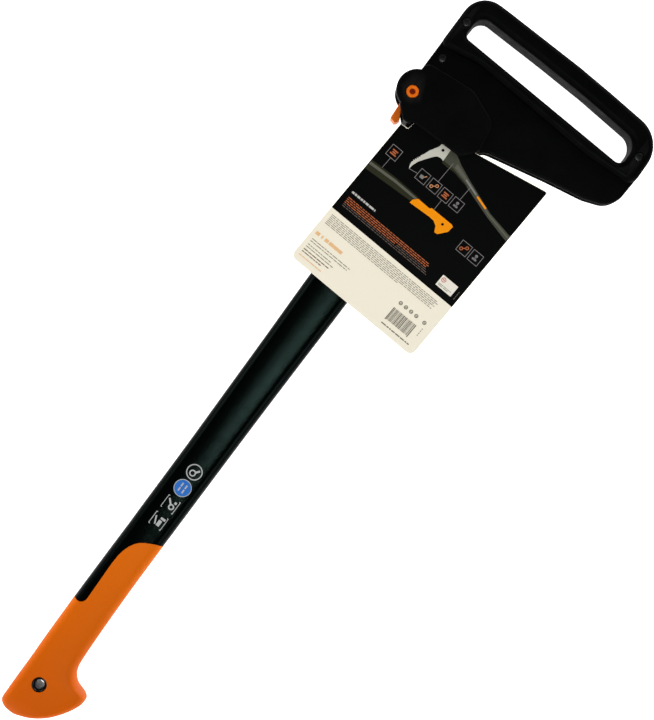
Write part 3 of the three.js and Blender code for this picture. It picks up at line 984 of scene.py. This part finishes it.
def print_pale_half(art, rng):
    text_lines(art, "slate", 4, 50.7, [119, 121, 118, 120, 116, 119, 82], 1.55, 0.55, rng)
    for k, width in enumerate((4.2, 1.6, 4, 4.6, 5.2, 4.4)):
        art.rect("tan", 5.3 + 5 * k, 30, width, 3, level=1, corner=0.4)
    text_lines(art, "slate", 4.2, 23.6, [44, 41], 2.3, 0.65, rng)
    text_lines(art, "slate", 4.2, 17.8, [27, 30], 2.4, 0.65, rng)
    text_lines(art, "umber", 4, 12.4, [28, 21], 2.4, 0.85, rng)
    text_lines(art, "tan", 4, 6.2, [26], 2.4, 0.9, rng)
    for s in (99.6, 105.4, 111.3, 117.2, 126.4):
        ring(art, "slate", s, 29.7, 1.8, 1.0, 1, 18)
        art.rect("slate", s, 29.6, 0.7, 1.6, s, 1)
    x, left = 0.0, 97.3
    while x < 25:
        bar, space = rng.choice((0.3, 0.5, 0.75, 1.0)), rng.choice((0.3, 0.45, 0.6))
        short = 0.8 if 1 < x < 24 else 0
        art.rect("slate", left + x + bar / 2, 16.8 + short / 2, bar, 13.2 - short, level=1)
        x += bar + space
    text_lines(art, "slate", 97, 6.3, [31], 2, 1.1, rng)
    for k in range(4):
        art.rect("slate", 128.5, 17.5 + 2.2 * k, 0.6, 1.4, level=1)


def print_card(art):
    rng = random.Random(4)
    print_dark_half(art, rng)
    print_pale_half(art, rng)


# ---- pictograms on the shaft ----
def shaft_top(x, y):
    low, high, half = station(x)
    return section_height(y - (low + high) / 2, (high - low) / 2, half)


def make_pictograms(inks):
    art = Print(lambda x, y, h: (x, y, shaft_top(x, y) + h + 0.01))
    y = -2.1
    frame_square(art, "chalk", 210.5, y, 12.7, 0.6)
    art.rect("chalk", 209, y - 1.6, 5.6, 3.2)
    art.line("chalk", (206.5, y + 1.2), (213.5, y + 4.2), 1.3)
    art.rect("chalk", 213.8, y - 2.6, 2.0, 4.6)
    frame_square(art, "chalk", 228.2, y, 12.7, 0.6)
    ring(art, "chalk", 226.6, y - 1.8, 2.7, 1.5)
    art.line("chalk", (228.4, y), (232.4, y + 3.9), 1.6)
    art.rect("chalk", 231.4, y - 3.2, 2.2, 2.2)
    ring(art, "chalk", 245.9, y, 7.9, 7.3)
    art.disc("blue", 245.9, y, 7.2, 0, 40)
    for side in (-1, 1):
        art.rect("chalk", 245.9 + side * 2.3, y, 3.6, 5.4, level=1)
        art.rect("blue", 245.9 + side * 2.3, y + 0.9, 2.4, 0.5, level=2)
        art.rect("blue", 245.9 + side * 2.3, y - 0.6, 2.4, 0.5, level=2)
    ring(art, "chalk", 263.1, y, 7.2, 6.3)
    ring(art, "chalk", 261.6, y + 0.8, 3.0, 1.9)
    art.line("chalk", (263.2, y - 1.0), (266.6, y - 3.6), 1.7)
    art.pieces("pictogram", inks, "tool")


# ---- stage ----
def make_stage():
    size = 4.0  # half the floor's side, in metres
    mesh = bpy.data.meshes.new("floor")
    corners = [(-size, -size), (size, -size), (size, size), (-size, size)]
    mesh.from_pydata([(x, y, -0.0002) for x, y in corners], [], [(0, 1, 2, 3)])
    floor = bpy.data.objects.new("floor", mesh)
    bpy.context.scene.collection.objects.link(floor)
    n = Nodes("floor")
    n.set(Base_Color=(0.93, 0.93, 0.93, 1), Roughness=0.9, Specular_IOR_Level=0.0)
    n.set(Emission_Color=(1, 1, 1, 1), Emission_Strength=1.1)
    mesh.materials.append(n.material)
    world = bpy.data.worlds.new("world")
    world.use_nodes = True
    world.node_tree.nodes["Background"].inputs["Color"].default_value = (1, 1, 1, 1)
    world.node_tree.nodes["Background"].inputs["Strength"].default_value = 0.06
    bpy.context.scene.world = world
    bpy.context.scene.view_settings.view_transform = "Standard"
    centre = place(372, -50, 0)
    for name, x, y, z, size, watts in (  # places and sizes in metres, from the middle of the object
        ("soft_butt", -2.0, 0.3, 0.9, (1.2, 1.2), 36),
        ("soft_head", 2.0, -0.2, 0.9, (1.2, 1.2), 29),
        ("soft_back", 0.2, 2.0, 0.9, (1.4, 1.0), 37),
        ("soft_belly", -0.1, -2.0, 0.9, (1.4, 1.0), 28),
    ):
        area_light(name, centre + Vector((x, y, z)), centre, size, watts)
    aim = place(350, -5, 0)
    stripe = area_light("stripe", place(350, -150, 1300), aim, (0.40, 0.02), 15.0, (0.9, 1.0, 0.97))
    stripe.visible_diffuse = False  # it shows only as the soft sheen along the shaft


# ---- the object ----
make_stage()
ink_colors = {
    "black": (0.0012, 0.0012, 0.0013),
    "paper": (0.80, 0.76, 0.66),
    "cloud": (0.50, 0.49, 0.46),
    "chalk": (0.42, 0.43, 0.43),
    "pale": (0.20, 0.19, 0.185),
    "silver": (0.53, 0.52, 0.45),
    "smoke": (0.13, 0.10, 0.085),
    "slate": (0.19, 0.175, 0.14),
    "umber": (0.16, 0.09, 0.05),
    "olive": (0.060, 0.062, 0.045),
    "sage": (0.105, 0.105, 0.082),
    "moss": (0.024, 0.025, 0.013),
    "ember": (0.42, 0.12, 0.045),
    "apricot": (0.55, 0.25, 0.12),
    "amber": (0.87, 0.28, 0.004),
    "tan": (0.79, 0.49, 0.24),
    "rose": (0.52, 0.16, 0.13),
    "blue": (0.028, 0.15, 0.5),
}
inks = {name: ink("ink_" + name, color) for name, color in ink_colors.items()}

make_shaft(shaft_composite())
make_grip(grip_rubber())
make_butt_plug(satin_black("plug_plastic"))
make_pick(steel("head_steel", (0.26, 0.265, 0.27), (0.42, 0.42, 0.43), 0.34))
make_card(card_board(), inks)
make_pictograms(inks)
make_sheath(sheath_plastic())
make_rivets(satin_black("rivet_plastic"))
make_latch(latch_plastic())
make_spring(steel("spring_steel", (0.4, 0.4, 0.41), (0.6, 0.6, 0.62), 0.25))
